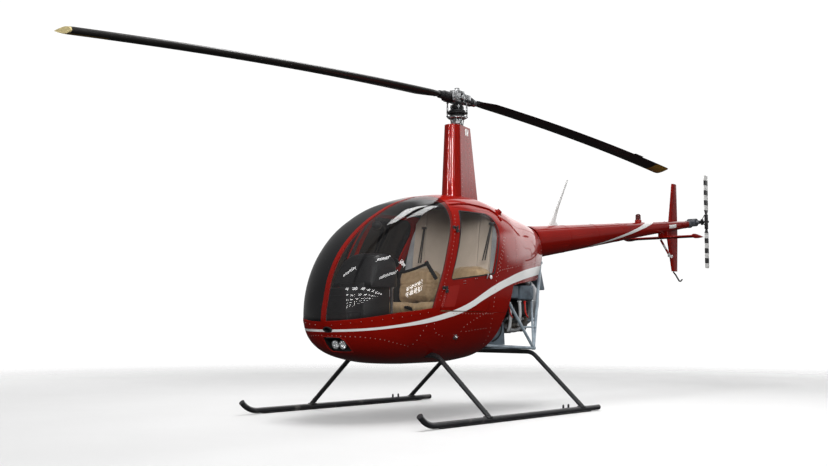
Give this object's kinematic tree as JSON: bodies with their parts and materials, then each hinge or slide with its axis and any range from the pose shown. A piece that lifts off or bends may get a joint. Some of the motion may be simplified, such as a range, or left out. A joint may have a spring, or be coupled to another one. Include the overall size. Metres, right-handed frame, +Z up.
{
  "type": "light helicopter",
  "caption": "Light two-seat helicopter with a rounded cabin, hinged doors, an open engine bay, a tailcone, a teetering main rotor and landing skids.",
  "frame": {"origin": "centre of the whole machine's footprint at ground level, with the rotor blades fore and aft", "axes": "+X forward, +Y to the machine's left, +Z up"},
  "size_m": [8.278, 1.8974, 2.74],
  "materials": {
    "red_body": "gloss red enamel with a white stripe",
    "window": "clear, lightly tinted acrylic",
    "engine_bay": "grey-blue enamel",
    "steel_frame": "blue-grey paint on steel tube",
    "bare_metal": "machined and cast, satin",
    "black_parts": "satin black",
    "blade": "satin black with marked tips",
    "cabin_trim": "black, fine grain",
    "lamp": "clear lens over a mirror bowl",
    "upholstery": "beige, woven",
    "leather": "tan, fine grain",
    "white_trim": "white enamel",
    "red_lens": "clear red"
  },
  "bodies": {
    "airframe": {"lower_hull": "red_body", "cabin_frame": "red_body", "cowl_left": "red_body", "cowl_right": "red_body", "windshield_bow": "red_body", "mast_fairing": "red_body", "tailcone": "red_body", "vertical_fin": "red_body", "stabiliser": "red_body", "windshield_left": "window", "windshield_right": "window", "firewall": "engine_bay", "cowl_bulkhead": "engine_bay", "engine": "engine_bay", "air_box": "steel_frame", "tail_duct": "steel_frame", "engine_frame": "steel_frame", "exhaust": "bare_metal", "fan_scroll": "bare_metal", "fan_wheel": "bare_metal", "swashplate": "bare_metal", "landing_arch_front": "black_parts", "landing_arch_rear": "black_parts", "skid_left": "black_parts", "skid_right": "black_parts", "tail_skid": "black_parts", "tail_gearbox": "black_parts", "cabin_floor": "cabin_trim", "seat_box": "cabin_trim", "instrument_console": "cabin_trim", "cyclic_stick": "cabin_trim", "lamp_tray": "cabin_trim", "landing_lamps": "lamp", "rear_lining": "upholstery", "seat_cushion_left": "leather", "seat_cushion_right": "leather", "seat_back_left": "leather", "seat_back_right": "leather", "antenna": "white_trim", "tail_guard": "white_trim", "beacon": "red_lens"},
    "main_rotor": {"rotor_mast": "black_parts", "rotor_hub": "bare_metal", "main_blade_front": "blade", "main_blade_rear": "blade", "pitch_link_front": "bare_metal", "pitch_link_rear": "bare_metal"},
    "tail_rotor": {"tail_rotor_hub": "black_parts", "tail_blade_upper": "blade", "tail_blade_lower": "blade"},
    "left_door": {"door_left": "red_body", "door_window_left": "window"},
    "right_door": {"door_right": "red_body", "door_window_right": "window"}
  },
  "joints": [
    {"name": "main_rotor_spin", "type": "hinge", "parent": "airframe", "child": "main_rotor", "pos_m": [0.302, 0, 2.649], "axis": [0, 0, 1], "continuous": true},
    {"name": "tail_rotor_spin", "type": "hinge", "parent": "airframe", "child": "tail_rotor", "pos_m": [-4.088, 0.178, 1.88], "axis": [0, 1, 0], "continuous": true},
    {"name": "left_door_hinge", "type": "hinge", "parent": "airframe", "child": "left_door", "pos_m": [1.1595, 0.572, 0.95], "axis": [0.358, 0.0807, -0.9302], "range_deg": [0, 80]},
    {"name": "right_door_hinge", "type": "hinge", "parent": "airframe", "child": "right_door", "pos_m": [1.1595, -0.572, 0.95], "axis": [-0.358, 0.0807, 0.9302], "range_deg": [0, 80]}
  ],
  "couplings": [
    {"joint": "tail_rotor_spin", "follows": "main_rotor_spin", "ratio": 6.41}
  ]
}
